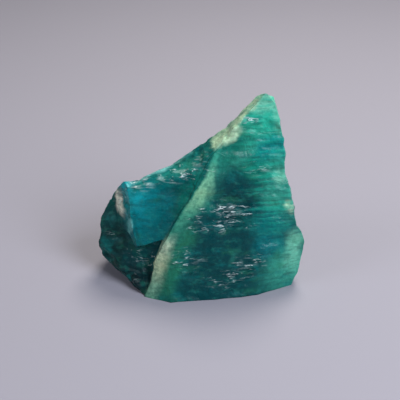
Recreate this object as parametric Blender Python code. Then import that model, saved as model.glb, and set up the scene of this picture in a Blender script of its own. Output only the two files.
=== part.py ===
# Rough piece of green hauyne: one cleaved stone with a tall pointed blade,
# a lower blue shoulder on its left and a dark overhanging flank behind that.
# The stone is drawn in millimetres, +X to the right, +Y away from the viewer,
# +Z up. The last step scales the finished mesh to its real width in metres and
# puts the origin under the middle of it, on the surface it rests on.
import math

import bmesh
import bpy
from mathutils import Matrix, Vector, noise

# Driving dimensions, in millimetres
STONE_WIDTH = 22.0
LONGEST_EDGE = 0.98
SHORTEST_EDGE = 0.04
FACE_STEP = 0.12
CUTTER_REACH = 3.0
CUTTER_LENGTH = 12.0
OUTER_BLOCK = 80.0
MM_TO_M = 0.001
SORT_AXIS = Vector((0.137, 0.731, 0.668))

# The net on the facets: rounds of splitting, the angle in degrees under which
# two faces are joined first, and the one under which they count as one facet
SPLITS = 8
JOIN_ANGLE = 0.1
FLAT_ANGLE = 0.6

# The weathered surface: how wide and how high its waves and lumps are, where
# the rough flank begins, and the height over which the base's level fades out
WAVE_SIZE = 5.0
WAVE_HEIGHT = 0.22
LUMP_SIZE = 1.7
LUMP_HEIGHT = 0.3
SMOOTH_SHARE = 0.25
FLANK_EDGE = -7.0
FLANK_BLEND = 1.2
LEVEL_HEIGHT = 1.0

# Where the noise is read for each axis, so that the three differ
AXIS_SHIFTS = [Vector((0.0, 0.0, 0.0)), Vector((31.7, 5.3, 0.0)), Vector((0.0, 17.1, 43.9))]

# Each broken face: the point where it is drawn from, the way it is turned to
# the right (yaw) and how far it leans back from upright, in degrees.
FRONT_FACE = ((0.0, -6.0, 0.0), 7.0, 14.0)
BLUE_FACE = ((0.0, -8.32, 0.0), -19.0, 22.0)
RECESS_FACE = ((0.0, -7.78, 0.0), -27.6, 22.0)
BLADE_BACK = ((6.5, 1.6, 20.5), -161.0, 14.5)
SHOULDER_BACK = ((-2.66, 1.4, 13.28), -147.5, 38.0)
RIGHT_BACK = ((8.6, 2.6, 6.0), 150.0, 4.0)
LOW_BACK = ((0.0, 6.3, 2.0), -176.0, 5.0)

# Outlines on those faces, in millimetres right of and above the drawing point
FRONT_OUTLINE = [
    (6.3, 21.4), (6.8, 22.2), (7.3, 22.1), (7.8, 21.6), (8.2, 20.9), (8.58, 19.8),
    (9.02, 18.3), (9.32, 16.8), (9.45, 15.9), (9.32, 14.3), (9.4, 13.1), (9.97, 11.5),
    (10.3, 10.0), (10.5, 8.8), (10.65, 7.5), (11.15, 6.9), (11.35, 5.8), (11.2, 4.5),
    (10.95, 3.3), (10.8, 2.0), (10.3, 1.0), (9.0, -1.5), (-5.8, -1.5), (-5.6, 0.8),
    (-5.0, 2.3), (-4.6, 4.3), (-3.7, 6.2), (-2.9, 7.8), (-2.0, 9.6), (0.4, 13.4),
    (1.9, 16.1), (2.9, 17.8), (4.3, 19.0), (5.4, 20.0),
]
BLUE_OUTLINE = [
    (4.2, 22.5), (-13.6, 22.0), (-13.1, 8.1), (-9.05, 7.05), (-8.05, 5.5),
    (-6.35, 6.3), (-4.25, 7.3), (1.15, 8.0), (4.5, 12.65),
]
RECESS_OUTLINE = [
    (0.0, 9.0), (-9.0, 7.5), (-9.1, 4.6), (-8.3, 2.4), (-7.2, 0.3), (-6.4, -0.6),
    (-5.0, -2.0), (1.5, -2.0),
]
# The shoulder's top, left to right: its front edge, then the ridge behind it
SHOULDER_TOP = [
    ((-10.6, 0.2, 8.6), (-10.9, 1.2, 8.6)),
    ((-8.5, -0.5, 10.25), (-8.95, 0.35, 10.45)),
    ((-7.8, -1.0, 10.85), (-8.27, -0.2, 11.1)),
    ((-6.34, -1.33, 11.26), (-6.66, -0.1, 11.44)),
    ((-4.2, -1.68, 12.16), (-4.74, 0.3, 12.55)),
    ((-2.09, -2.03, 13.03), (-2.66, 0.6, 13.4)),
    ((0.0, -2.22, 14.29), (-1.06, 0.8, 14.4)),
    ((1.64, -2.16, 15.74), (0.69, 1.0, 15.65)),
    ((2.87, -2.03, 17.04), (1.48, 1.1, 16.15)),
    ((4.1, -1.6, 18.0), (3.1, 1.25, 17.2)),
    ((5.5, -1.5, 19.5), (4.7, 1.4, 18.9)),
    ((7.0, -1.3, 21.0), (6.4, 1.6, 20.6)),
]
# Corners of the dark flank, which bulges to the left above the surface
FLANK_CORNERS = [
    (-9.2, 1.6, 8.7), (-10.1, 1.2, 8.35), (-10.7, 0.8, 7.3), (-10.8, 0.3, 5.9),
    (-11.0, -0.5, 4.1), (-10.8, -0.5, 2.5), (-9.7, -1.0, 1.3), (-8.8, -2.2, 1.1),
    (-7.6, -3.6, 0.8), (-6.4, -4.6, 0.2), (-5.7, -5.2, 0.0), (-7.9, -0.4, 8.7),
    (-7.6, -1.0, 6.5), (-7.1, -2.2, 4.0), (-9.6, 3.6, 7.2), (-10.2, 3.4, 4.0),
    (-9.0, 4.2, 1.2), (-6.0, 5.4, 0.0), (-4.0, 5.0, 6.5), (-3.0, -3.0, 0.0),
    (-4.0, 0.0, 9.0), (2.0, 7.0, 0.0), (2.0, 7.0, 6.0), (-9.0, 6.5, 7.0),
    (-9.0, 6.5, 1.5), (-6.0, 6.5, 0.0),
]

# Distances behind the drawn face, and the outline's size there
BLADE_RINGS = [(0.0, 1.0), (1.0, 1.03), (7.0, 1.0), (16.0, 0.9)]
BLOCK_RINGS = [(0.0, 1.0), (14.0, 0.96)]
BLADE_CENTRE = (3.0, 8.5)
BLOCK_CENTRE = (-3.0, 9.0)

# Cleavages: a point on the plane, its yaw and lean. What lies outside goes.
BLADE_CLEAVAGES = {
    "tip left": ((3.3, -1.2, 17.5), -88.0, 41.5),
    "tip cap": ((6.7, 0.0, 21.25), -14.0, 87.0),
    "tip back": ((6.5, 0.3, 21.35), 172.0, 48.0),
    "lower right": ((4.2, -5.52, 0.0), 18.0, 8.0),
    "right foot": ((6.2, -4.9, 0.0), 29.0, -2.0),
    "right side": ((10.75, -1.0, 6.0), 112.0, 7.0),
    "toe": ((-3.95, -6.04, 0.0), -24.0, 12.0),
    "back of the blade": BLADE_BACK,
}
BLUE_CLEAVAGES = {
    "cream corner": ((-7.96, -1.0, 10.73), -56.0, 5.5),
}
SHOULDER_CLEAVAGES = {
    "back of the shoulder": SHOULDER_BACK,
}
STONE_CLEAVAGES = {
    "resting face": ((0.0, 0.0, 0.0), 0.0, -90.0),
    "back right corner": RIGHT_BACK,
    "low back": LOW_BACK,
    "under the back": ((0.0, 6.3, 2.0), -170.0, -32.0),
    "left back": ((-9.6, 3.2, 5.0), -120.0, 12.0),
}

# Shelves left where thin flakes broke away: the face they are on, then their
# place on it, width, height, depth and how far they are turned, in degrees.
FRONT_SHELVES = {
    "vein shelf": (FRONT_FACE, (0.3, 8.3), 3.0, 1.7, 0.24, 4.0),
    "middle shelf": (FRONT_FACE, (3.9, 8.2), 2.4, 1.4, 0.24, -3.0),
    "upper pit": (FRONT_FACE, (4.1, 10.0), 4.0, 2.2, 0.36, 6.0),
    "right shelf": (FRONT_FACE, (5.4, 3.4), 3.4, 2.0, 0.24, 9.0),
    "foot shelf": (FRONT_FACE, (2.6, 1.8), 5.0, 1.9, 0.24, 3.0),
    "tip shelf": (FRONT_FACE, (8.0, 18.0), 2.4, 1.4, 0.16, -4.0),
    "neck shelf": (FRONT_FACE, (5.9, 18.7), 2.0, 1.1, 0.14, 8.0),
    "edge shelf": (FRONT_FACE, (6.6, 14.2), 3.8, 2.0, 0.18, 5.0),
    "left foot shelf": (FRONT_FACE, (-0.6, 3.6), 3.4, 2.2, 0.2, -5.0),
}
RECESS_SHELVES = {
    "upper step": (RECESS_FACE, (-6.4, 3.9), 3.0, 1.3, 0.4, 8.0),
    "lower step": (RECESS_FACE, (-6.7, 2.0), 2.8, 1.4, 0.35, -6.0),
}
BACK_SHELVES = {
    "sloping step": (SHOULDER_BACK, (0.6, -4.6), 9.0, 3.2, 0.45, 9.0),
    "left back step": (SHOULDER_BACK, (3.0, -8.8), 10.0, 3.0, 0.5, -7.0),
    "high back step": (RIGHT_BACK, (0.9, 8.6), 5.0, 3.4, 0.35, -6.0),
    "right back step": (RIGHT_BACK, (0.4, 2.6), 7.0, 3.6, 0.5, 8.0),
    "middle back step": (LOW_BACK, (-3.2, 7.0), 8.0, 3.4, 0.55, -9.0),
    "low back step": (LOW_BACK, (1.6, 2.6), 12.0, 3.0, 0.6, 5.0),
}
# A shelf's shape along its width: places from its middle, and the size there
SHELF_SHAPE = [(-0.5, 0.12), (-0.3, 0.75), (-0.05, 1.0), (0.22, 0.8), (0.5, 0.1)]


def clear_scene():
    for old in list(bpy.data.objects):
        bpy.data.objects.remove(old)


def facing(yaw, lean):
    """The outward direction of a face turned yaw to the right and leaning back."""
    yaw, lean = math.radians(yaw), math.radians(lean)
    return Vector((
        math.sin(yaw) * math.cos(lean),
        -math.cos(yaw) * math.cos(lean),
        math.sin(lean),
    ))


def face_axes(face):
    """A matrix from (right, up, out) on a broken face to the stone's own frame."""
    foot, yaw, lean = face
    out = facing(yaw, lean)
    right = Vector((math.cos(math.radians(yaw)), math.sin(math.radians(yaw)), 0.0))
    up = out.cross(right)
    axes = Matrix((right, up, out)).transposed().to_4x4()
    return Matrix.Translation(foot) @ axes


def put_in_order(bm):
    """Rebuilds a mesh with its corners and faces in order of place.

    The mesh tools number what they make by chance, and later steps depend on
    those numbers. In this order each run gives the same stone. Two faces on
    the same corners lie back to back with nothing between them, and both go.
    """
    in_order = sorted(bm.verts, key=lambda vert: vert.co.dot(SORT_AXIS))
    rank = {vert: place for place, vert in enumerate(in_order)}
    corners = [vert.co.copy() for vert in in_order]
    loops = {}
    for face in bm.faces:
        loop = [rank[vert] for vert in face.verts]
        start = loop.index(min(loop))
        if loops.pop(frozenset(loop), None) is None:
            loops[frozenset(loop)] = loop[start:] + loop[:start]
    bm.clear()
    verts = [bm.verts.new(corner) for corner in corners]
    for loop in sorted(loops.values()):
        bm.faces.new([verts[place] for place in loop])
    bm.normal_update()


def triangulate(bm):
    """Turns every face into triangles, the same ones in each run."""
    put_in_order(bm)
    bmesh.ops.triangulate(bm, faces=bm.faces)
    put_in_order(bm)


def slab(face, outline, rings, centre):
    """A block behind a broken face: its outline carried back ring by ring."""
    bm = bmesh.new()
    axes = face_axes(face)
    middle = Vector((*centre, 0.0))
    drawn = [Vector((right, up, 0.0)) for right, up in outline]
    last = bm.faces.new([bm.verts.new(axes @ p) for p in drawn])
    for ring, (depth, size) in enumerate(rings[1:]):
        grown = bmesh.ops.extrude_face_region(bm, geom=[last])["geom"]
        if ring > 0:
            bmesh.ops.delete(bm, geom=[last], context="FACES_ONLY")
        last = next(g for g in grown if isinstance(g, bmesh.types.BMFace))
        for vert, point in zip(last.verts, drawn):
            moved = middle + (point - middle) * size
            vert.co = axes @ Vector((moved.x, moved.y, -depth))
    bmesh.ops.recalc_face_normals(bm, faces=bm.faces)
    triangulate(bm)
    return bm


def hull(corners):
    """The convex lump that has these corners."""
    bm = bmesh.new()
    for corner in corners:
        bm.verts.new(corner)
    made = bmesh.ops.convex_hull(bm, input=bm.verts)
    inside = [g for g in made["geom_interior"] if isinstance(g, bmesh.types.BMVert)]
    bmesh.ops.delete(bm, geom=inside, context="VERTS")
    bmesh.ops.recalc_face_normals(bm, faces=bm.faces)
    put_in_order(bm)
    return bm


def loft(sections):
    """A closed block through sections that have the same number of corners."""
    bm = bmesh.new()
    rings = [[bm.verts.new(corner) for corner in section] for section in sections]
    for first, second in zip(rings, rings[1:]):
        for here in range(len(first)):
            after = (here + 1) % len(first)
            bm.faces.new((first[here], first[after], second[after], second[here]))
    bm.faces.new(rings[0])
    bm.faces.new(rings[-1])
    bmesh.ops.recalc_face_normals(bm, faces=bm.faces)
    triangulate(bm)
    return bm


def above_shoulder():
    """The cutter over the shoulder: its underside is the shoulder's top."""
    sections = []
    for front, ridge in SHOULDER_TOP:
        front, ridge = Vector(front), Vector(ridge)
        before = front + (front - ridge).normalized() * CUTTER_LENGTH
        after = ridge + Vector((0.0, CUTTER_LENGTH, -0.5 * CUTTER_LENGTH))
        lift = Vector((0.0, 0.0, CUTTER_LENGTH))
        sections.append([before, front, ridge, after, after + lift, before + lift])
    return loft(sections)


def shelf(face, place, width, height, depth, turn):
    """A cutter that leaves a small shelf, with a scar above it that runs out."""
    axes = face_axes(face) @ Matrix.Translation((*place, 0.0))
    axes = axes @ Matrix.Rotation(math.radians(turn), 4, "Z")
    corners = []
    for along, size in SHELF_SHAPE:
        foot = -0.2 * height * size
        profile = [
            (foot, -depth * size),
            (foot + 1.4 * height * size, 0.4 * depth * size),
            (foot + 1.4 * height * size, CUTTER_REACH),
            (foot, CUTTER_REACH),
        ]
        for rise, out in profile:
            corners.append(axes @ Vector((along * width, rise, out)))
    return hull(corners)


def as_object(name, bm):
    mesh = bpy.data.meshes.new(name)
    bm.to_mesh(mesh)
    bm.free()
    made = bpy.data.objects.new(name, mesh)
    bpy.context.scene.collection.objects.link(made)
    return made


def combine(base, others, operation):
    """Joins the others to base, or cuts them from it, and returns base."""
    for other in others:
        step = base.modifiers.new(other.name, "BOOLEAN")
        step.operation = operation
        step.solver = "EXACT"
        step.object = other
    graph = bpy.context.evaluated_depsgraph_get()
    result = bpy.data.meshes.new_from_object(base.evaluated_get(graph))
    base.modifiers.clear()
    for other in others:
        bpy.data.objects.remove(other)
    bm = bmesh.new()
    bm.from_mesh(result)
    put_in_order(bm)
    bm.to_mesh(base.data)
    bm.free()
    return base


def flake(made, shelves):
    """Cuts the shelves into an object."""
    cutters = [as_object(name, shelf(*size)) for name, size in shelves.items()]
    return combine(made, cutters, "DIFFERENCE")


def beyond(name, face):
    """The space outside a cleavage, as a large block."""
    bm = bmesh.new()
    bmesh.ops.create_cube(bm, size=OUTER_BLOCK)
    bmesh.ops.translate(bm, vec=(0.0, 0.0, 0.5 * OUTER_BLOCK), verts=bm.verts)
    bmesh.ops.transform(bm, matrix=face_axes(face), verts=bm.verts)
    return as_object(name, bm)


def cleave(made, cuts):
    """Splits off what lies outside each cleavage."""
    return combine(made, [beyond(*cut) for cut in cuts.items()], "DIFFERENCE")


def behind_front(made):
    """Cuts a block back so that it ends just behind the front face."""
    foot, yaw, lean = FRONT_FACE
    step = facing(yaw, lean) * FACE_STEP
    return cleave(made, {"behind front": (Vector(foot) - step, yaw, lean)})


def blade():
    """The tall pointed slab with the stone's main broken face."""
    made = as_object("hauyne_stone", slab(FRONT_FACE, FRONT_OUTLINE, BLADE_RINGS, BLADE_CENTRE))
    return cleave(made, BLADE_CLEAVAGES)


def shoulder():
    """The lower left half: the blue block, the recess under it and the flank."""
    blue = as_object("shoulder", slab(BLUE_FACE, BLUE_OUTLINE, BLOCK_RINGS, BLOCK_CENTRE))
    behind_front(blue)
    cleave(blue, BLUE_CLEAVAGES)
    combine(blue, [as_object("above shoulder", above_shoulder())], "DIFFERENCE")
    recess = as_object("recess", slab(RECESS_FACE, RECESS_OUTLINE, BLOCK_RINGS, BLOCK_CENTRE))
    behind_front(recess)
    flake(recess, RECESS_SHELVES)
    flank = as_object("flank", hull(FLANK_CORNERS))
    combine(blue, [recess, flank], "UNION")
    return cleave(blue, SHOULDER_CLEAVAGES)


def flat(edge):
    return edge.calc_face_angle(math.pi) < math.radians(FLAT_ANGLE)


def drop_splinters(bm):
    """Keeps the stone itself, not the splinters that a weld left beside it."""
    left = set(bm.verts)
    pieces = []
    while left:
        piece = set()
        reached = {next(iter(left))}
        while reached:
            piece |= reached
            around = {edge.other_vert(vert) for vert in reached for edge in vert.link_edges}
            reached = around - piece
        pieces.append(piece)
        left -= piece
    pieces.sort(key=len)
    for piece in pieces[:-1]:
        bmesh.ops.delete(bm, geom=list(piece), context="VERTS")


def even_out(bm):
    """Splits the long triangles until the facets carry an even net."""
    bmesh.ops.remove_doubles(bm, verts=bm.verts, dist=SHORTEST_EDGE)
    put_in_order(bm)
    bmesh.ops.dissolve_limit(
        bm, angle_limit=math.radians(JOIN_ANGLE), verts=bm.verts, edges=bm.edges
    )
    triangulate(bm)
    for _ in range(SPLITS):
        long_edges = [edge for edge in bm.edges if edge.calc_length() > LONGEST_EDGE]
        if not long_edges:
            break
        bmesh.ops.subdivide_edges(bm, edges=long_edges, cuts=1)
        triangulate(bm)
        inner = [edge for edge in bm.edges if flat(edge)]
        bmesh.ops.beautify_fill(bm, faces=bm.faces, edges=inner)
        put_in_order(bm)
    bmesh.ops.remove_doubles(bm, verts=bm.verts, dist=SHORTEST_EDGE)
    drop_splinters(bm)
    triangulate(bm)


def drift(point, size):
    """A smooth random offset from -1 to 1 on each axis, changing over size."""
    return Vector(noise.noise(point / size + shift) for shift in AXIS_SHIFTS)


def weather(point):
    """Moves a point of the surface: broad waves, then finer lumps on the flank."""
    flank = min(1.0, max(0.0, (FLANK_EDGE - point.x) / FLANK_BLEND))
    lumps = LUMP_HEIGHT * (SMOOTH_SHARE + (1.0 - SMOOTH_SHARE) * flank)
    moved = drift(point, WAVE_SIZE) * WAVE_HEIGHT + drift(point, LUMP_SIZE) * lumps
    moved.z *= min(1.0, max(0.0, point.z) / LEVEL_HEIGHT)
    return point + moved


def finish(stone):
    """Nets and weathers the surface, then sets the size and the origin."""
    bm = bmesh.new()
    bm.from_mesh(stone.data)
    even_out(bm)
    for vert in bm.verts:
        vert.co = weather(vert.co)
    low = Vector(min(v.co[axis] for v in bm.verts) for axis in range(3))
    high = Vector(max(v.co[axis] for v in bm.verts) for axis in range(3))
    foot = Vector(((low.x + high.x) / 2, (low.y + high.y) / 2, low.z))
    size = MM_TO_M * STONE_WIDTH / (high.x - low.x)
    bmesh.ops.translate(bm, vec=-foot, verts=bm.verts)
    bmesh.ops.scale(bm, vec=(size, size, size), verts=bm.verts)
    bm.to_mesh(stone.data)
    bm.free()


def teal_stone():
    made = bpy.data.materials.new("teal hauyne")
    made.use_nodes = True
    surface = made.node_tree.nodes["Principled BSDF"]
    surface.inputs["Base Color"].default_value = (0.02, 0.19, 0.16, 1.0)
    surface.inputs["Roughness"].default_value = 0.35
    surface.inputs["Metallic"].default_value = 0.0
    return made


def main():
    clear_scene()
    stone = combine(blade(), [shoulder()], "UNION")
    cleave(stone, STONE_CLEAVAGES)
    flake(stone, FRONT_SHELVES)
    flake(stone, BACK_SHELVES)
    finish(stone)
    stone.data.materials.append(teal_stone())


main()
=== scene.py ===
# Looks of the rough green hauyne: a fine broken surface over the CAD solid, and
# its veined, cloudy, slightly waxy stone.
import math

import bmesh
import bpy
from mathutils import Matrix, Vector, kdtree, noise


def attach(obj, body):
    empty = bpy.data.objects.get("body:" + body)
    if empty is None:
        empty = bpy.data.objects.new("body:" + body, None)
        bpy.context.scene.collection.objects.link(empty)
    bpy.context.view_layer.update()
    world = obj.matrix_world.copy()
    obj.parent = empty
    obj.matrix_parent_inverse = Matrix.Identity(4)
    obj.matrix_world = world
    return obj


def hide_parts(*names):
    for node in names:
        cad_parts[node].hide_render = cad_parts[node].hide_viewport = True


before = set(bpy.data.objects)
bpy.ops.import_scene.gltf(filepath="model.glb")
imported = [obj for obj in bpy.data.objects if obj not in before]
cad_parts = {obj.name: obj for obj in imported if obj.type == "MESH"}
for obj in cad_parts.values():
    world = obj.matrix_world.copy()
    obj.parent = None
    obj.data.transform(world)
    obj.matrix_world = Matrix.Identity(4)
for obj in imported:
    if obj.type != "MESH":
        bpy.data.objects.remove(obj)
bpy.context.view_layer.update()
mm = 0.001


# The stone was drawn in millimetres with its main broken face near y = -6. Its
# patterns are laid out there: u to the right and v up on that face, w outwards.
drawing = {
    "origin": (0.061, 0.086, 0.0),   # the drawing's point under the middle of the stone
    "scale": 0.985,                  # finished size over drawn size
    "faceFoot": (0.0, -6.0, 0.0),
    "faceYaw": 7.0,                  # turned to the right, in degrees
    "faceLean": 14.0,                # leaning back from upright
}


def faceAxes():
    yaw = math.radians(drawing["faceYaw"])
    lean = math.radians(drawing["faceLean"])
    outward = Vector((
        math.sin(yaw) * math.cos(lean),
        -math.cos(yaw) * math.cos(lean),
        math.sin(lean),
    ))
    right = Vector((math.cos(yaw), math.sin(yaw), 0.0))
    return Matrix((right, outward.cross(right), outward))


toFace = faceAxes()


def drawn(point):  # finished metres to drawn millimetres
    return Vector(point) / (mm * drawing["scale"]) + Vector(drawing["origin"])


def onFace(point):  # drawn millimetres to u, v, w
    return toFace @ (point - Vector(drawing["faceFoot"]))


# Colours

def linear(hexColour):
    channels = [int(hexColour[i:i + 2], 16) / 255.0 for i in (1, 3, 5)]
    return [c / 12.92 if c <= 0.04045 else ((c + 0.055) / 1.055) ** 2.4 for c in channels] + [1.0]


# The fine surface

surface = {
    "mergeWithin": 0.002,            # mm, corners of the loose CAD triangles that are one
    "cuts": 4,                       # in each CAD edge
    "ledgeHeight": 0.10,             # mm, one step between two ledges
    "ledgeSize": (3.4, 1.3, 3.4),    # mm along the cleavage, across it and inwards
    "ledgeSteps": 3.2,               # steps over the field's whole range
    "stepEdge": (0.4, 0.6),          # the share of a step in which it climbs
    "patchSize": 4.5,                # mm, from a stepped patch to a smooth one
    "patchEdge": (-0.15, 0.3),       # the noise that is smooth, and fully stepped
    "smoothShare": 0.25,             # what is left of the ledges on a smooth patch
    "blueFace": (-4.6, 9.0, -2.0),   # mm, the middle of the face without ledges
    "blueFaceRadii": (4.0, 4.0, 2.0),
    "blueFaceEdge": (0.6, 1.1),      # the share of its radii in which they return
    "grainSize": 0.6,                # mm, uneven broken skin
    "grainHeight": 0.022,
    "flankFrom": (-8.2, -7.2),       # mm in x, from the rough left end to the rest
    "flankLumps": 0.16,              # mm, how high its lumps are
    "flankLumpSize": 0.8,
    "ridgeAngle": 24.0,              # degrees, what counts as a ridge
    "ridgeSpacing": 0.15,            # mm between the points that stand for a ridge
    "chipReach": 0.5,                # mm, how far from a ridge it is chipped
    "chipDepth": 0.26,
    "chipSize": 0.9,
    "chipExtra": 0.15,               # more leaves less of a ridge whole
    "footHeight": 0.6,               # mm above the flat underside, which stays flat
    "softenFrom": 0.3,               # mm above it
    "softening": 0.4,
}


def smoothStep(value, low, high):
    share = min(1.0, max(0.0, (value - low) / (high - low)))
    return share * share * (3.0 - 2.0 * share)


def stepped(value):
    return math.floor(value) + smoothStep(value % 1.0, *surface["stepEdge"])


def shareOf(point, middle, radii):  # how far out a point is, as a share of the radii
    return Vector([(p - m) / r for p, m, r in zip(point, middle, radii)])


def bumps(point, size, shift):  # smooth lumps of a size in mm, between -1 and 1
    return noise.noise(point / size + Vector(shift))


def ledgeLift(point):
    place = shareOf(onFace(point), (0.0, 0.0, 0.0), surface["ledgeSize"])
    field = noise.noise(place)
    field += 0.5 * noise.noise(place * 2.3 + Vector((4.1, 0.0, 9.7)))   # smaller ones among them
    patch = smoothStep(bumps(point, surface["patchSize"], (2.0, 8.0, 0.0)), *surface["patchEdge"])
    share = surface["smoothShare"] + (1.0 - surface["smoothShare"]) * patch
    away = shareOf(onFace(point), surface["blueFace"], surface["blueFaceRadii"]).length
    share *= smoothStep(away, *surface["blueFaceEdge"])
    return surface["ledgeHeight"] * share * stepped(field * surface["ledgeSteps"])


def ridgePoints(bm):
    found = []
    for edge in bm.edges:
        if edge.calc_face_angle_signed(0.0) > math.radians(surface["ridgeAngle"]):  # no hollows
            a, b = (drawn(vert.co) for vert in edge.verts)
            count = max(1, round((b - a).length / surface["ridgeSpacing"]))
            found += [a.lerp(b, (i + 0.5) / count) for i in range(count)]
    tree = kdtree.KDTree(len(found))
    for i, point in enumerate(found):
        tree.insert(point, i)
    tree.balance()
    return tree


def liftAt(point, ridges):  # how far outwards the surface goes, in drawn mm
    lift = ledgeLift(point) - 0.5 * surface["ledgeHeight"]
    lift += surface["grainHeight"] * bumps(point, surface["grainSize"], (0.0, 0.0, 0.0))
    flank = 1.0 - smoothStep(point.x, *surface["flankFrom"])
    lift += flank * surface["flankLumps"] * bumps(point, surface["flankLumpSize"], (0.0, 5.0, 2.0))
    away = ridges.find(point)[2] / surface["chipReach"]
    if away < 1.0:
        chip = bumps(point, surface["chipSize"], (7.0, 3.0, 1.0)) + surface["chipExtra"]
        lift = lift * away - surface["chipDepth"] * max(0.0, chip) * (1.0 - away)
    return lift * smoothStep(point.z, 0.0, surface["footHeight"])


def fineStone():
    bm = bmesh.new()
    bm.from_mesh(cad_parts["hauyne_stone"].data)
    bmesh.ops.remove_doubles(bm, verts=bm.verts, dist=surface["mergeWithin"] * mm)
    ridges = ridgePoints(bm)
    bmesh.ops.subdivide_edges(bm, edges=bm.edges, cuts=surface["cuts"], use_grid_fill=True)
    bmesh.ops.triangulate(bm, faces=bm.faces)
    bm.normal_update()
    moves = [
        vert.normal * liftAt(drawn(vert.co), ridges) * mm * drawing["scale"] for vert in bm.verts
    ]
    for vert, move in zip(bm.verts, moves):
        vert.co += move
    bmesh.ops.smooth_vert(
        bm, verts=[vert for vert in bm.verts if vert.co.z > surface["softenFrom"] * mm],
        factor=surface["softening"], use_axis_x=True, use_axis_y=True, use_axis_z=True,
    )
    for face in bm.faces:
        face.smooth = True
    mesh = bpy.data.meshes.new("fine_stone")
    bm.to_mesh(mesh)
    bm.free()
    stone = bpy.data.objects.new("fine_stone", mesh)
    bpy.context.scene.collection.objects.link(stone)
    return stone


# The stone's material

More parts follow.
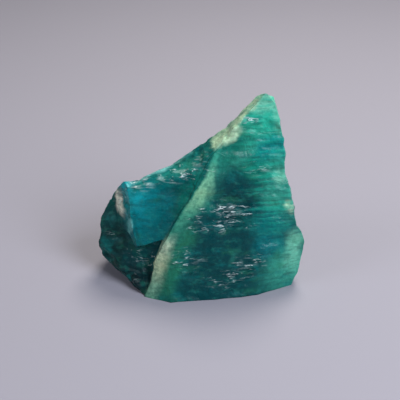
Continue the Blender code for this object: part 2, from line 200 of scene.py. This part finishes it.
# Every pattern has its real size in millimetres and lies in the main face's
# u, v and w. Those of fine steps and grain, which are some hundredths of a
# millimetre on the real stone, are drawn as coarse as they need to show.
finish = {
    "colours": {
        # the darkest colour, for the recess foot, partly painted shade
        "night": "#012124",
        "deep": "#013f42",
        "dark": "#035655",
        "sea": "#056d6a",
        "bottle": "#016b5a",
        "green": "#08806b",
        "lagoon": "#00918a",
        "mint": "#2cb596",
        # used only for painted glow where light comes through thin edges
        "light": "#7bcfae",
        "lemon": "#c4e6bb",
        "haze": "#369a84",
        "blue": "#016c70",
        "sky": "#0c98a0",
        "ice": "#16b4bc",
        "streak": "#16a88d",
        # painted highlight colour for lit edges and rims
        "edge highlight": "#86d6cd",
        "moss": "#237356",
        "cream": "#f1f0d8",
        # the left end's dark stone, darkened further as painted shade
        "flank": "#022e2d",
        # painted highlight colour of the glints and the chip lips
        "glint": "#e4f6f2",
    },
    # how places are shifted about, so that no border is drawn with a ruler:
    # size of the shifts and how far they reach, in mm
    "shifts": {"cloud": (2.4, 1.9), "vein": (1.1, 0.45), "fine": (0.5, 0.22)},
    "bodySize": 3.7,
    "body": [(0.32, "deep"), (0.5, "dark"), (0.68, "green")],
    # centre and radii in mm, turn in degrees, colour, strength, and the share of
    # the radii in which it fades; the later ones lie over the earlier ones
    "clouds": {
        "upper half": ((6.8, 17.0, -2.0), (5.5, 5.6, 9.0), 0, "green", 0.9, 0.5),
        "under the lump": ((3.7, 15.9, -0.5), (1.9, 1.5, 3.0), 30, "bottle", 0.95, 0.4),
        "upper teal": ((6.6, 17.6, -1.0), (2.2, 1.4, 4.0), 0, "mint", 0.55, 0.5),
        "lagoon": ((8.2, 16.2, -0.8), (1.9, 1.5, 4.0), 0, "lagoon", 0.95, 0.4),
        # painted glow of light shining through the thin tip, in these three
        "tip": ((7.2, 20.0, -1.0), (2.7, 1.9, 6.0), 0, "mint", 0.95, 0.35),
        "tip edge glow": ((7.3, 21.5, -1.0), (2.0, 1.4, 6.0), 10, "light", 0.9, 0.45),
        "tip right glow": ((9.0, 19.4, -1.0), (0.7, 1.9, 3.0), 10, "light", 0.5, 0.5),
        "slanting haze": ((4.9, 15.5, -0.5), (2.9, 0.55, 3.0), 40, "haze", 0.55, 0.5),
        # painted glow of light through the thin right edge, in these three; the pale one is a
        # painted highlight too
        "right edge glow": ((8.9, 11.6, -0.5), (1.8, 3.6, 3.0), 0, "haze", 0.85, 0.5),
        "right edge highlight": ((8.9, 13.1, -0.3), (0.9, 0.8, 2.0), 10, "light", 0.7, 0.5),
        "rim": ((9.8, 9.8, -0.3), (0.4, 0.8, 0.7), 10, "lemon", 0.8, 0.6),
        "middle dark": ((4.2, 11.5, -0.5), (2.5, 2.8, 4.0), 25, "deep", 0.98, 0.4),
        "lower dark": ((2.6, 5.4, -0.5), (4.6, 3.9, 5.0), -20, "deep", 0.95, 0.35),
        "bottom dark": ((1.6, 1.1, -1.0), (6.4, 1.9, 5.0), 3, "deep", 0.85, 0.5),
        # painted shade along the foot, where the stone meets the floor
        "bottom edge": ((2.0, 0.0, -1.0), (9.0, 0.6, 6.0), 0, "deep", 0.8, 0.6),
        "right middle": ((7.6, 8.0, -0.5), (2.2, 1.6, 3.0), 0, "sea", 0.85, 0.45),
        # painted glow of light through the thin lower right corner
        "low right glow": ((10.4, 2.6, -0.5), (3.1, 2.8, 3.6), 25, "haze", 0.95, 0.65),
        "low blue": ((7.4, 5.5, -0.5), (1.7, 1.3, 3.0), 10, "blue", 0.85, 0.5),
        # painted glow of light through the thin lower right edge, in these two
        "low right edge glow": ((10.4, 3.9, -0.5), (1.0, 2.0, 2.0), 0, "light", 0.55, 0.6),
        "toe": ((10.7, 6.2, -0.8), (1.2, 1.0, 2.0), 0, "light", 0.65, 0.6),
        "below vein": ((-1.9, 6.9, -0.5), (1.5, 1.9, 2.5), -30, "moss", 0.8, 0.5),
        "left foot": ((-3.2, 3.4, -0.5), (1.3, 2.9, 2.5), -18, "moss", 0.75, 0.5),
        "shoulder blue": ((-4.7, 9.0, -2.6), (3.6, 4.4, 3.6), 15, "blue", 1.0, 0.25),
        "shoulder shade": ((-2.6, 8.4, -1.2), (1.5, 2.2, 1.6), -20, "deep", 0.5, 0.6),
        "shoulder light": ((-6.0, 10.4, -2.8), (1.9, 2.2, 2.0), 0, "sky", 0.6, 0.6),
        "shoulder corner": ((-6.8, 11.6, -3.0), (1.7, 1.3, 2.0), 0, "ice", 0.85, 0.5),
        # painted highlight along the rounded left edge of the blue face
        "shoulder edge highlight": ((-7.3, 8.9, -2.6), (0.22, 3.6, 0.7), 4, "edge highlight", 0.6, 0.5),
        "beside vein": ((-0.6, 11.7, -1.0), (1.1, 2.8, 2.5), -28, "bottle", 0.8, 0.5),
        "top strip": ((-2.0, 14.0, -2.2), (5.6, 1.1, 2.4), 24, "sea", 0.8, 0.5),
        # painted reflection of the bright room on the up-facing strip
        "top strip reflection": ((-1.0, 14.4, -1.6), (3.6, 0.5, 1.2), 24, "haze", 0.5, 0.7),
        # painted backlit rim along the top edge
        "top rim backlight": ((-3.2, 14.05, -3.6), (3.6, 0.35, 0.6), 26, "edge highlight", 0.75, 0.6),
        "dark crack": ((3.5, 7.8, 0.0), (1.8, 0.09, 1.2), -77, "deep", 0.9, 0.5),
        "pale crack": ((3.6, 4.6, 0.0), (1.3, 0.3, 1.2), 62, "haze", 0.25, 0.8),
        # the left end's own darker stone, darkened further as painted shade of its side away from
        # the lights
        "left dark": ((-9.6, 5.0, -6.0), (3.0, 6.0, 7.0), 10, "flank", 0.95, 0.3),
        "flank top": ((-8.6, 8.6, -5.3), (1.5, 1.0, 2.5), 20, "dark", 0.6, 0.6),
        "flank lobe": ((-10.4, 5.0, -5.5), (0.7, 2.6, 2.5), 0, "dark", 0.4, 0.7),
        # darker stone in the recess under the blue face, with painted shade under its overhang, in
        # these two
        "recess dark": ((-5.8, 3.0, -2.8), (2.4, 2.9, 2.6), 0, "deep", 0.95, 0.3),
        "recess foot": ((-6.4, 1.0, -2.8), (2.6, 2.6, 2.6), 0, "night", 0.9, 0.5),
        "cream facet": ((-8.0, 10.4, -3.9), (0.75, 1.55, 1.7), 12, "cream", 1.0, 0.3),
        "pale lump": ((3.1, 17.85, -0.4), (1.6, 0.9, 2.3), 25, "lemon", 1.0, 0.4),
        "pale lump foot": ((2.4, 17.0, -0.2), (0.9, 0.45, 1.6), 55, "lemon", 0.95, 0.4),
        "pale tip side": ((5.2, 20.2, -1.0), (2.4, 0.5, 2.4), 45, "lemon", 0.95, 0.45),
    },
    # uneven patches in the stone: colour, size in mm and strength
    "patches": [
        ("moss", 2.6, 0.5),
        ("sea", 1.9, 0.55),
        ("deep", 1.2, 0.3),
        ("haze", 0.8, 0.2),   # milky specks
    ],
    "patchStretch": (0.7, 1.3, 1.0),   # a little longer along the cleavage
    "patchEdge": (0.52, 0.7),
    # streaks along the cleavage, pale in the upper right part and dark elsewhere
    "streaks": {
        "size": (3.57, 0.5, 2.0),
        "paleEdge": (0.47, 0.66),
        "paleFromU": (3.5, 8.0),
        "paleFromV": (6.5, 9.0),
        "paleStrength": 0.6,
        "darkEdge": (0.5, 0.36),
        "darkStrength": 0.35,
    },
    # the pale vein: crisp on its left, fading into the stone on its right
    "vein": {
        # its left border on the main face as places (v, u), and its width there
        "border": [
            (-1.0, -6.0), (1.6, -5.5), (5.1, -4.5), (7.5, -2.9), (9.6, -1.5),
            (11.6, -0.1), (13.4, 1.1), (16.1, 2.2), (18.0, 3.0), (22.0, 5.6),
        ],
        "width": [
            (-1.0, 1.3), (4.0, 1.9), (6.5, 1.5), (8.0, 1.2), (9.0, 1.5),
            (11.0, 2.2), (12.2, 1.8), (13.8, 1.1), (17.0, 0.7), (22.0, 0.5),
        ],
        "span": (-1.0, 22.0),   # mm in v that the two curves cover
        "sides": (-7.0, 7.0),   # mm in u that the border keeps to
        "widest": 2.2,
        # its colours upwards, of the vein itself and of the haze beside it
        "core": [
            (0.0, "#4b8f76"), (0.12, "#7aa98c"), (0.22, "#bccca2"), (0.31, "#b2c8a8"),
            (0.38, "#2f806a"), (0.46, "#439478"), (0.55, "#86c094"), (0.62, "#7abf98"),
            (0.7, "#3fa488"), (0.78, "#22907c"), (1.0, "#3aa48c"),
        ],
        "coreStrength": 0.95,
        "coreFade": (0.45, 1.15),   # in widths
        "haze": [
            (0.0, "#27745f"), (0.3, "#236f5a"), (0.45, "#287c66"), (0.6, "#359680"),
            (1.0, "#1f9080"),
        ],
        "hazeStrength": 0.7,
        "hazeFade": (0.4, 2.7),     # mm
        "edge": 0.22,               # mm, how crisp its left border is
        "reach": 0.2,               # mm, how far it goes round the face's left edge
        "behindV": (6.0, 8.5),      # between these places in v,
        "behindW": (-1.4, -0.3),    # how deep behind the face it is still seen
        "behindEdge": (-0.3, 0.1),
        "topFade": (15.4, 17.0),    # where it gives way to the pale lump
        "topShare": 0.1,            # what is left of it there
        "mottleSize": 0.77,
        "mottleEdge": (0.35, 0.6),
        "mottleShare": 0.55,        # its strength where it is palest
    },
    # small broken steps, with a painted glint as a bright lip and a painted shadow as a dark foot
    "chips": {
        "size": (2.0, 0.4167, 0.909),
        "turn": -6.0,
        # the foot is a painted shadow and the lip a painted glint, both laid into the base colour
        "foot": ("deep", (0.40, 0.47, 0.51), 0.8),   # colour, start, peak and end, strength
        "lip": ("glint", (0.50, 0.54, 0.58), 1.0),
        "breakSize": (1.0, 0.5, 0.667),              # where the lips are broken off
        "breakEdge": (0.46, 0.64),
        "riseEdge": (0.47, 0.57),                    # the step that the light catches
        # where they gather: centre, radii in mm and strength
        "clusters": {
            "middle": ((3.7, 9.8, 0.0), (2.0, 0.8, 1.5), 1.0),
            "under middle": ((2.4, 8.2, 0.0), (2.9, 0.6, 1.5), 0.9),
            "beside vein": ((-0.2, 9.4, 0.0), (1.0, 0.9, 1.5), 0.6),
            "low middle": ((5.4, 4.0, 0.0), (1.7, 0.8, 1.5), 0.9),
            "bottom": ((2.9, 2.2, 0.0), (2.6, 0.9, 1.5), 0.45),
            "low left": ((-1.6, 4.6, 0.0), (1.7, 1.1, 1.5), 0.6),
            "top strip": ((-1.8, 13.7, -1.4), (4.8, 0.8, 1.4), 1.0),
            "shoulder corner": ((-6.0, 12.3, -2.8), (1.5, 0.6, 1.0), 1.0),
            "recess": ((-5.7, 4.5, -2.8), (1.4, 0.9, 1.0), 0.8),
            "upper": ((5.7, 19.2, 0.0), (1.0, 0.4, 1.5), 0.8),
            "right": ((6.4, 14.2, 0.0), (1.3, 0.4, 1.5), 0.4),
        },
        "clusterEdge": (0.5, 1.4),
        # behind the two front faces they are here and there
        "sparseSize": 2.86,
        "sparseEdge": (0.55, 0.7),
        "sparseStrength": 0.6,
        "sparseFromW": (-0.8, -1.8),
        # and the blue face is nearly free of them
        "smoothFace": ((-4.4, 9.0, -1.9), (3.5, 2.7, 1.6)),
        "smoothEdge": (0.8, 1.15),
        "smoothShare": 0.06,
    },
    # painted highlights where broader steps would catch the light, long and flat along the
    # cleavage
    "glints": {
        "size": (1.667, 0.3333, 1.0),
        "turn": -14.0,
        "edge": (0.5, 0.62),
        "strength": 0.85,
        "breakRange": (-0.2, 0.8),
        "clusters": {
            "shoulder top": ((-2.6, 13.4, -1.7), (2.2, 0.9, 1.2), 1.0),
            "shoulder top right": ((0.6, 15.2, -1.2), (1.3, 0.8, 1.2), 1.0),
            "shoulder top left": ((-5.4, 12.4, -2.7), (1.4, 0.7, 1.0), 1.0),
            "middle": ((3.4, 9.7, 0.0), (1.2, 0.5, 1.0), 0.7),
            "under middle": ((2.4, 8.3, 0.0), (2.2, 0.4, 1.0), 0.6),
            "low middle": ((5.0, 3.6, 0.0), (1.2, 0.7, 1.0), 0.6),
            "low left": ((-0.2, 4.6, 0.0), (1.2, 0.6, 1.0), 0.4),
            "upper": ((5.4, 19.4, 0.0), (0.8, 0.3, 1.0), 0.5),
            "right": ((6.9, 13.5, 0.0), (1.2, 0.4, 1.0), 0.4),
        },
        "clusterEdge": (0.7, 1.3),
    },
    "grainSize": 0.385,
    "grainShade": (0.75, 1.25),      # keeps the clouds from looking airbrushed
    "glossSize": 0.91,
    "roughness": (0.24, 0.42),       # a slightly waxy break
    "flankRoughness": 0.18,          # more on the left end
    "flankFromU": (-7.2, -8.6),
    "specularLevel": 0.17,           # a broken skin shines less than a polished one
    "ior": 1.5,
    "depthShare": 0.1,               # only thin edges let light through
    "depthRadius": (0.4, 1.0, 0.9),
    "depthScale": 0.8,               # mm
    "skinSize": 0.556,               # unevenness too fine for the mesh
    "skinHeight": 0.2,               # mm, also of the streaks
    "skinStrength": 0.35,
    "streakStrength": 0.3,
    "stepHeight": 0.1,               # mm
    "stepStrength": 0.9,
}


def addNode(tree, kind, inputs=None, stops=None, **settings):
    node = tree.nodes.new("ShaderNode" + kind)
    for name, value in settings.items():
        setattr(node, name, value)
    for name, value in (inputs or {}).items():
        if isinstance(name, int):
            socket = node.inputs[name]
        else:
            socket = next(s for s in node.inputs if s.enabled and s.name == name)
        if isinstance(value, bpy.types.NodeSocket):
            tree.links.new(value, socket)
        else:
            socket.default_value = value
    if kind == "ValToRGB":
        elements = node.color_ramp.elements
        while len(elements) < len(stops):
            elements.new(0.5)
        for element, (place, colour) in zip(elements, stops):
            element.position, element.color = place, linear(colour)
    if kind == "FloatCurve":
        points = node.mapping.curves[0].points
        while len(points) < len(stops):
            points.new(0.5, 0.5)
        for point, place in zip(points, stops):
            point.location = place
        node.mapping.update()
    return next(socket for socket in node.outputs if socket.enabled)


def near(tree, place, spot, edge, strength, outside=0.0):
    # strength within a spot, and outside past it: edge is the share of its radii between
    centre, radii, turn = spot
    local = addNode(tree, "Mapping", {
        "Vector": place, "Location": centre, "Scale": radii,
        "Rotation": (0.0, 0.0, math.radians(turn)),
    }, vector_type="TEXTURE")
    return addNode(tree, "MapRange", {
        "Value": addNode(tree, "VectorMath", {0: local}, operation="LENGTH"),
        "From Min": edge[0], "From Max": edge[1], "To Min": strength, "To Max": outside,
    }, interpolation_type="SMOOTHSTEP")


def gathered(tree, place, kind, amount):
    # the strongest of the clusters that reach a place, or the amount it has already
    for centre, radii, strength in finish[kind]["clusters"].values():
        inside = near(tree, place, (centre, radii, 0.0), finish[kind]["clusterEdge"], strength)
        amount = addNode(tree, "Math", {0: amount, 1: inside}, operation="MAXIMUM")
    return amount


def marked(tree, colour, amounts, name):
    # a colour of the finish laid over the one below, as strong as the amounts multiplied
    share = amounts[0]
    for amount in amounts[1:]:
        share = addNode(tree, "Math", {0: share, 1: amount}, operation="MULTIPLY")
    over = linear(finish["colours"][name])
    return addNode(tree, "Mix", {"Factor": share, "A": colour, "B": over}, data_type="RGBA")


def stonePlaces(tree):
    # where a point lies on the main face, as it is and shifted about
    stone = addNode(tree, "Mapping", {
        "Vector": addNode(tree, "TexCoord").node.outputs["Object"],
        "Location": drawing["origin"],
        "Scale": [1.0 / (mm * drawing["scale"])] * 3,
    })
    face = addNode(tree, "Mapping", {
        "Vector": stone,
        "Rotation": toFace.to_euler(),
        "Location": -(toFace @ Vector(drawing["faceFoot"])),
    })
    places = {"face": face}
    for name, (size, reach) in finish["shifts"].items():
        wave = addNode(tree, "TexNoise", {"Vector": face, "Scale": 1.0 / size, "Detail": 3.0})
        wave = wave.node.outputs["Color"]
        centred = addNode(tree, "VectorMath", {0: wave, 1: (0.5, 0.5, 0.5)}, operation="SUBTRACT")
        shift = addNode(tree, "VectorMath", {0: centred, "Scale": reach}, operation="SCALE")
        places[name] = addNode(tree, "VectorMath", {0: face, 1: shift}, operation="ADD")
    both = addNode(tree, "VectorMath", {0: places["cloud"], 1: places["fine"]}, operation="ADD")
    places["cloudy"] = addNode(tree, "VectorMath", {0: both, 1: face}, operation="SUBTRACT")
    places["u"], places["v"], places["w"] = addNode(tree, "SeparateXYZ", {0: face}).node.outputs
    return places


def cloudedBody(tree, places):
    body = addNode(tree, "TexNoise", {
        "Vector": places["cloudy"], "Scale": 1.0 / finish["bodySize"],
        "Detail": 5.0, "Roughness": 0.6,
    })
    stops = [(place, finish["colours"][name]) for place, name in finish["body"]]
    colour = addNode(tree, "ValToRGB", {"Fac": body}, stops)
    for centre, radii, turn, name, strength, fade in finish["clouds"].values():
        edge = (1.0 - fade, 1.0 + fade)
        inside = near(tree, places["cloudy"], (centre, radii, turn), edge, strength)
        colour = marked(tree, colour, [inside], name)
    for name, size, strength in finish["patches"]:
        spot = addNode(tree, "Mapping", {
            "Vector": places["fine"], "Scale": finish["patchStretch"],
            "Location": (size, 3.0 * size, 7.0 * size),   # so that no two patterns agree
        })
        spot = addNode(tree, "TexNoise", {
            "Vector": spot, "Scale": 1.0 / size, "Detail": 3.0, "Roughness": 0.6,
        })
        low, high = finish["patchEdge"]
        spot = addNode(tree, "MapRange", {
            "Value": spot, "From Min": low, "From Max": high, "To Max": strength,
        }, interpolation_type="SMOOTHSTEP")
        colour = marked(tree, colour, [spot], name)
    return colour


def streaked(tree, places, colour):
    streaks = finish["streaks"]
    streak = addNode(tree, "TexNoise", {
        "Vector": addNode(tree, "Mapping", {
            "Vector": places["fine"], "Scale": [1.0 / size for size in streaks["size"]],
        }),
        "Scale": 1.0, "Detail": 4.0, "Roughness": 0.62,
    })
    parts = []
    for value, edge, most in (
        (streak, "paleEdge", 1.0),
        (places["u"], "paleFromU", streaks["paleStrength"]),
        (places["v"], "paleFromV", 1.0),
        (streak, "darkEdge", streaks["darkStrength"]),
    ):
        low, high = streaks[edge]
        parts.append(addNode(tree, "MapRange", {
            "Value": value, "From Min": low, "From Max": high, "To Max": most,
        }, interpolation_type="SMOOTHSTEP"))
    colour = marked(tree, colour, parts[:3], "streak")
    return marked(tree, colour, parts[3:], "deep"), streak


def veined(tree, places, colour):
    vein = finish["vein"]
    low, high = vein["span"]
    left, right = vein["sides"]
    besideU, alongV = addNode(tree, "SeparateXYZ", {0: places["vein"]}).node.outputs[:2]
    rise = addNode(tree, "MapRange", {"Value": alongV, "From Min": low, "From Max": high})
    border = addNode(tree, "FloatCurve", {"Value": rise}, [
        ((v - low) / (high - low), (u - left) / (right - left)) for v, u in vein["border"]
    ])
    border = addNode(tree, "MapRange", {"Value": border, "To Min": left, "To Max": right})
    width = addNode(tree, "FloatCurve", {"Value": rise}, [
        ((v - low) / (high - low), size / vein["widest"]) for v, size in vein["width"]
    ])
    width = addNode(tree, "Math", {0: width, 1: vein["widest"]}, operation="MULTIPLY")

    # how far right of the border, in mm and in widths
    beside = addNode(tree, "Math", {0: besideU, 1: border}, operation="SUBTRACT")
    beside = addNode(tree, "Math", {0: beside, 1: vein["reach"]})
    inWidths = addNode(tree, "Math", {0: beside, 1: width}, operation="DIVIDE")

    # it begins at its border, stays near the face's own depth and ends at the lump
    begins = addNode(tree, "MapRange", {
        "Value": beside, "From Min": -vein["edge"], "From Max": vein["edge"],
    }, interpolation_type="SMOOTHSTEP")
    limit = addNode(tree, "MapRange", {
        "Value": places["v"],
        "From Min": vein["behindV"][0], "From Max": vein["behindV"][1],
        "To Min": vein["behindW"][0], "To Max": vein["behindW"][1],
    })
    shallow = addNode(tree, "MapRange", {
        "Value": addNode(tree, "Math", {0: places["w"], 1: limit}, operation="SUBTRACT"),
        "From Min": vein["behindEdge"][0], "From Max": vein["behindEdge"][1],
    }, interpolation_type="SMOOTHSTEP")
    underLump = addNode(tree, "MapRange", {
        "Value": places["v"],
        "From Min": vein["topFade"][0], "From Max": vein["topFade"][1],
        "To Min": 1.0, "To Max": vein["topShare"],
    })
    mottle = addNode(tree, "TexNoise", {
        "Vector": places["face"], "Scale": 1.0 / vein["mottleSize"],
        "Detail": 4.0, "Roughness": 0.6,
    })
    for part, value, curve in (("haze", beside, "LINEAR"), ("core", inWidths, "SMOOTHSTEP")):
        strength = vein[part + "Strength"]
        ends = addNode(tree, "MapRange", {
            "Value": value,
            "From Min": vein[part + "Fade"][0], "From Max": vein[part + "Fade"][1],
            "To Min": 1.0, "To Max": 0.0,
        }, interpolation_type=curve)
        here = addNode(tree, "MapRange", {
            "Value": mottle,
            "From Min": vein["mottleEdge"][0], "From Max": vein["mottleEdge"][1],
            "To Min": vein["mottleShare"] * strength, "To Max": strength,
        }, interpolation_type="SMOOTHSTEP")
        for limitedBy in (begins, shallow, underLump, ends):
            here = addNode(tree, "Math", {0: here, 1: limitedBy}, operation="MULTIPLY")
        tint = addNode(tree, "ValToRGB", {"Fac": rise}, vein[part])
        colour = addNode(tree, "Mix", {"Factor": here, "A": colour, "B": tint}, data_type="RGBA")
    return colour


def chipped(tree, places, colour):
    chips = finish["chips"]
    chip = addNode(tree, "TexNoise", {
        "Vector": addNode(tree, "Mapping", {
            "Vector": places["fine"], "Scale": [1.0 / size for size in chips["size"]],
            "Rotation": (0.0, 0.0, math.radians(chips["turn"])),
        }),
        "Scale": 1.0, "Detail": 2.5, "Distortion": 0.15,
    })
    sparse = addNode(tree, "MapRange", {
        "Value": addNode(tree, "TexNoise", {
            "Vector": places["face"], "Scale": 1.0 / chips["sparseSize"],
        }),
        "From Min": chips["sparseEdge"][0], "From Max": chips["sparseEdge"][1],
        "To Max": chips["sparseStrength"],
    }, interpolation_type="SMOOTHSTEP")
    behind = addNode(tree, "MapRange", {
        "Value": places["w"],
        "From Min": chips["sparseFromW"][0], "From Max": chips["sparseFromW"][1],
    }, interpolation_type="SMOOTHSTEP")
    sparse = addNode(tree, "Math", {0: sparse, 1: behind}, operation="MULTIPLY")
    gather = gathered(tree, places["cloud"], "chips", sparse)
    rough = near(
        tree, places["face"], (*chips["smoothFace"], 0.0), chips["smoothEdge"],
        chips["smoothShare"], outside=1.0,
    )
    gather = addNode(tree, "Math", {0: gather, 1: rough}, operation="MULTIPLY")
    broken = addNode(tree, "MapRange", {
        "Value": addNode(tree, "TexNoise", {
            "Vector": addNode(tree, "Mapping", {
                "Vector": places["fine"], "Scale": [1.0 / size for size in chips["breakSize"]],
            }),
            "Scale": 1.0,
        }),
        "From Min": chips["breakEdge"][0], "From Max": chips["breakEdge"][1],
    }, interpolation_type="SMOOTHSTEP")
    broken = addNode(tree, "Math", {0: broken, 1: gather}, operation="MULTIPLY")
    # painted shadows at the feet and painted glints on the lips
    for part in ("foot", "lip"):
        name, (start, peak, end), strength = chips[part]
        rising = addNode(tree, "MapRange", {
            "Value": chip, "From Min": start, "From Max": peak, "To Max": strength,
        }, interpolation_type="SMOOTHSTEP")
        falling = addNode(tree, "MapRange", {
            "Value": chip, "From Min": peak, "From Max": end, "To Min": 1.0, "To Max": 0.0,
        }, interpolation_type="SMOOTHSTEP")
        colour = marked(tree, colour, [rising, falling, broken], name)
    step = addNode(tree, "MapRange", {
        "Value": chip, "From Min": chips["riseEdge"][0], "From Max": chips["riseEdge"][1],
    }, interpolation_type="SMOOTHSTEP")
    step = addNode(tree, "Math", {0: step, 1: broken}, operation="MULTIPLY")
    return colour, broken, step


def glinting(tree, places, colour, broken):
    # painted highlights: near-white streaks laid into the base colour
    glints = finish["glints"]
    shine = addNode(tree, "MapRange", {
        "Value": addNode(tree, "TexNoise", {
            "Vector": addNode(tree, "Mapping", {
                "Vector": places["fine"], "Scale": [1.0 / size for size in glints["size"]],
                "Rotation": (0.0, 0.0, math.radians(glints["turn"])),
            }),
            "Scale": 1.0, "Roughness": 0.45,
        }),
        "From Min": glints["edge"][0], "From Max": glints["edge"][1],
        "To Max": glints["strength"],
    }, interpolation_type="SMOOTHSTEP")
    breaks = addNode(tree, "MapRange", {
        "Value": broken, "From Min": glints["breakRange"][0], "From Max": glints["breakRange"][1],
    })
    spread = gathered(tree, places["vein"], "glints", 0.0)
    return marked(tree, colour, [shine, breaks, spread], "glint")


def unevenSkin(tree, places, streak, step):
    skin = addNode(tree, "TexNoise", {
        "Vector": places["face"], "Scale": 1.0 / finish["skinSize"],
        "Detail": 6.0, "Roughness": 0.55,
    })
    normal = addNode(tree, "Bump", {
        "Height": skin, "Strength": finish["skinStrength"], "Distance": finish["skinHeight"] * mm,
    })
    normal = addNode(tree, "Bump", {
        "Height": streak, "Strength": finish["streakStrength"],
        "Distance": finish["skinHeight"] * mm, "Normal": normal,
    })
    return addNode(tree, "Bump", {
        "Height": step, "Strength": finish["stepStrength"],
        "Distance": finish["stepHeight"] * mm, "Normal": normal,
    })


def brokenHauyne():
    # a rough, broken stone: cloudy within, slightly waxy, with painted glints as bright lips where
    # it chipped
    material = bpy.data.materials.new("rough hauyne, broken and unpolished")
    material.use_nodes = True
    tree = material.node_tree
    shader = tree.nodes["Principled BSDF"]
    places = stonePlaces(tree)
    colour = cloudedBody(tree, places)
    colour, streak = streaked(tree, places, colour)
    colour = veined(tree, places, colour)
    colour, broken, step = chipped(tree, places, colour)
    colour = glinting(tree, places, colour, broken)
    grain = addNode(tree, "TexNoise", {
        "Vector": places["face"], "Scale": 1.0 / finish["grainSize"],
        "Detail": 5.0, "Roughness": 0.7,
    })
    grain = addNode(tree, "MapRange", {
        "Value": grain, "From Min": 0.25, "From Max": 0.75,
        "To Min": finish["grainShade"][0], "To Max": finish["grainShade"][1],
    })
    colour = addNode(tree, "Mix", {
        "Factor": 1.0, "A": colour, "B": grain,
    }, data_type="RGBA", blend_type="MULTIPLY")
    tree.links.new(colour, shader.inputs["Base Color"])

    gloss = addNode(tree, "TexNoise", {
        "Vector": places["face"], "Scale": 1.0 / finish["glossSize"], "Detail": 4.0,
    })
    gloss = addNode(tree, "MapRange", {
        "Value": gloss, "From Min": 0.3, "From Max": 0.7,
        "To Min": finish["roughness"][0], "To Max": finish["roughness"][1],
    })
    flank = addNode(tree, "MapRange", {
        "Value": places["u"],
        "From Min": finish["flankFromU"][0], "From Max": finish["flankFromU"][1],
        "To Max": finish["flankRoughness"],
    }, interpolation_type="SMOOTHSTEP")
    tree.links.new(addNode(tree, "Math", {0: gloss, 1: flank}), shader.inputs["Roughness"])
    tree.links.new(unevenSkin(tree, places, streak, step), shader.inputs["Normal"])
    shader.inputs["Specular IOR Level"].default_value = finish["specularLevel"]
    shader.inputs["IOR"].default_value = finish["ior"]
    shader.inputs["Subsurface Weight"].default_value = finish["depthShare"]
    shader.inputs["Subsurface Radius"].default_value = finish["depthRadius"]
    shader.inputs["Subsurface Scale"].default_value = finish["depthScale"] * mm
    return material


stone = fineStone()
stone.data.materials.append(brokenHauyne())
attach(stone, "root")
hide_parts("hauyne_stone")
print("stone:", len(stone.data.polygons), "triangles")


# The studio

studio = {
    "floor": "#9f9da6",
    "floorRoughness": 0.9,
    "floorSize": 3.0,           # m
    "world": "#c4c6d0",
    "worldStrength": 0.15,
    # place and width in mm, watts and colour
    "lights": {
        "key": ((35.0, 70.0, 150.0), 70.0, 0.22, "#fff8f0"),
        "fill": ((110.0, -110.0, 130.0), 120.0, 0.4, "#eef2ff"),
        "side": ((-130.0, -60.0, 100.0), 90.0, 0.06, "#eef2ff"),
    },
    "aim": (0.0, 0.0, 9.0),     # drawn mm, what the camera and the lights look at
    "distance": 113.5,          # drawn mm
    "elevation": 28.0,          # degrees
    "lens": 94.8,
    "sensor": 36.0,
}


def finished(point):  # drawn millimetres to finished metres
    return (Vector(point) - Vector(drawing["origin"])) * (mm * drawing["scale"])


def areaLight(name, place, size, watts, colour):
    light = bpy.data.lights.new(name, "AREA")
    light.shape = "DISK"
    light.size = size * mm
    light.energy = watts
    light.color = linear(colour)[:3]
    lamp = bpy.data.objects.new(name, light)
    bpy.context.scene.collection.objects.link(lamp)
    lamp.location = Vector(place) * mm
    towards = finished(studio["aim"]) - lamp.location
    lamp.rotation_euler = towards.to_track_quat("-Z", "Y").to_euler()


def photoCamera():
    camera = bpy.data.cameras.new("camera")
    camera.lens = studio["lens"]
    camera.sensor_width = studio["sensor"]
    camera.clip_start = mm
    holder = bpy.data.objects.new("camera", camera)
    bpy.context.scene.collection.objects.link(holder)
    tilt = math.radians(studio["elevation"])
    back = Vector((0.0, -math.cos(tilt), math.sin(tilt)))
    holder.location = finished(studio["aim"]) + back * studio["distance"] * mm * drawing["scale"]
    holder.rotation_euler = (-back).to_track_quat("-Z", "Y").to_euler()
    bpy.context.scene.camera = holder


def paleFloor():
    bm = bmesh.new()
    bmesh.ops.create_grid(bm, x_segments=1, y_segments=1, size=studio["floorSize"] / 2)
    mesh = bpy.data.meshes.new("floor")
    bm.to_mesh(mesh)
    bm.free()
    floor = bpy.data.objects.new("floor", mesh)
    bpy.context.scene.collection.objects.link(floor)
    material = bpy.data.materials.new("matt pale card")   # a soft shadow and no reflection
    material.use_nodes = True
    shader = material.node_tree.nodes["Principled BSDF"]
    shader.inputs["Base Color"].default_value = linear(studio["floor"])
    shader.inputs["Roughness"].default_value = studio["floorRoughness"]
    mesh.materials.append(material)


def softWorld():
    world = bpy.data.worlds.new("soft room")
    world.use_nodes = True
    background = world.node_tree.nodes["Background"]
    background.inputs["Color"].default_value = linear(studio["world"])
    background.inputs["Strength"].default_value = studio["worldStrength"]
    bpy.context.scene.world = world


bpy.context.scene.view_settings.view_transform = "Standard"  # hex colours come out as written
paleFloor()
softWorld()
for name, light in studio["lights"].items():
    areaLight(name, *light)
photoCamera()
print("studio ready")
